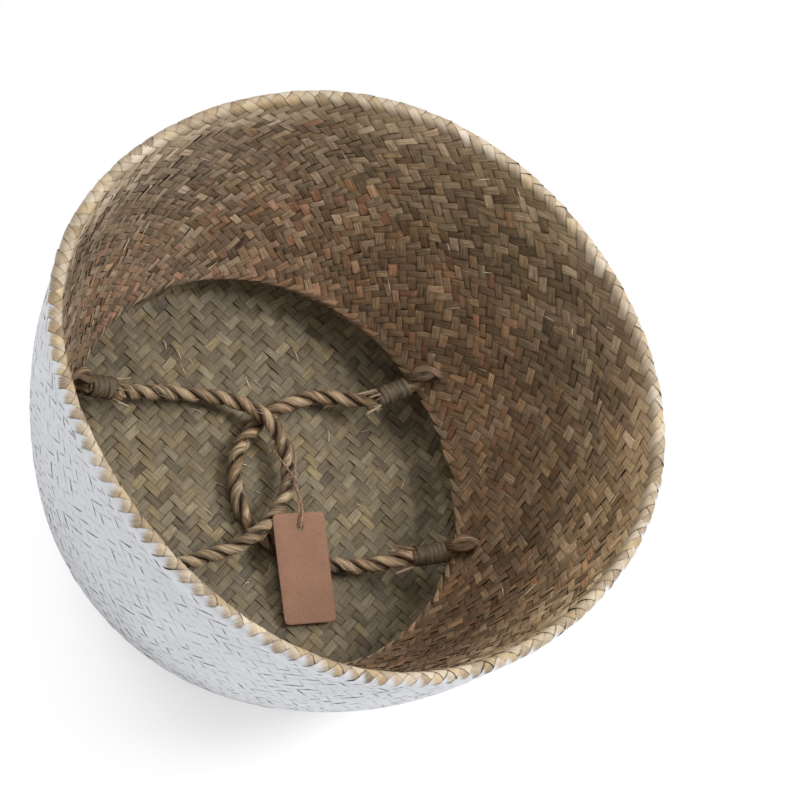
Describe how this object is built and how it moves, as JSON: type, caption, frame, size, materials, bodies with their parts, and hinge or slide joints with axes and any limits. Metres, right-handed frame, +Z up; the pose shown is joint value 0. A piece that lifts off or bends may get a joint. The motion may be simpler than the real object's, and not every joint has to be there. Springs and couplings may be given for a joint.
{
  "type": "woven seagrass storage basket",
  "caption": "Round belly basket of woven seagrass, its upper half folded down inside, with rope handles and a blank hang tag.",
  "frame": {"origin": "on the surface it stands on, under the middle of the basket", "axes": "+Z up out of the mouth, +X towards the right handle, Y along the handles' hinge lines"},
  "size_m": [0.4017, 0.3739, 0.1805],
  "materials": {
    "olive_weave": "matte woven seagrass",
    "painted_weave": "white water-based paint on woven seagrass",
    "pale_weave": "matte woven seagrass",
    "natural_weave": "matte woven seagrass",
    "rope": "twisted seagrass",
    "whipping": "flat strands of seagrass",
    "card": "uncoated brown card",
    "twine": "jute twine"
  },
  "bodies": {
    "basket": {"base_mat": "olive_weave", "lower_wall": "painted_weave", "rim_fold": "pale_weave", "upper_wall": "natural_weave", "neck_hem": "natural_weave"},
    "left_handle": {"left_handle_rope": "rope", "left_upper_whipping": "whipping", "left_lower_whipping": "whipping", "tag_twine_turn": "twine"},
    "right_handle": {"right_handle_rope": "rope", "right_upper_whipping": "whipping", "right_lower_whipping": "whipping"},
    "tag": {"hang_tag": "card", "tag_twine_legs": "twine"}
  },
  "joints": [
    {"name": "left_handle_lift", "type": "hinge", "parent": "basket", "child": "left_handle", "pos_m": [-0.12372, 0, 0.0392], "axis": [0, -1, 0], "range_deg": [0, 90]},
    {"name": "right_handle_lift", "type": "hinge", "parent": "basket", "child": "right_handle", "pos_m": [0.11899, 0, 0.0392], "axis": [0, 1, 0], "range_deg": [0, 81]},
    {"name": "hang_tag_lift", "type": "hinge", "parent": "left_handle", "child": "tag", "pos_m": [0.0212, -0.0016, 0.023], "axis": [-0.5547, 0, -0.8321], "range_deg": [0, 110]}
  ],
  "couplings": [
    {"joint": "right_handle_lift", "follows": "left_handle_lift", "ratio": 0.9}
  ]
}
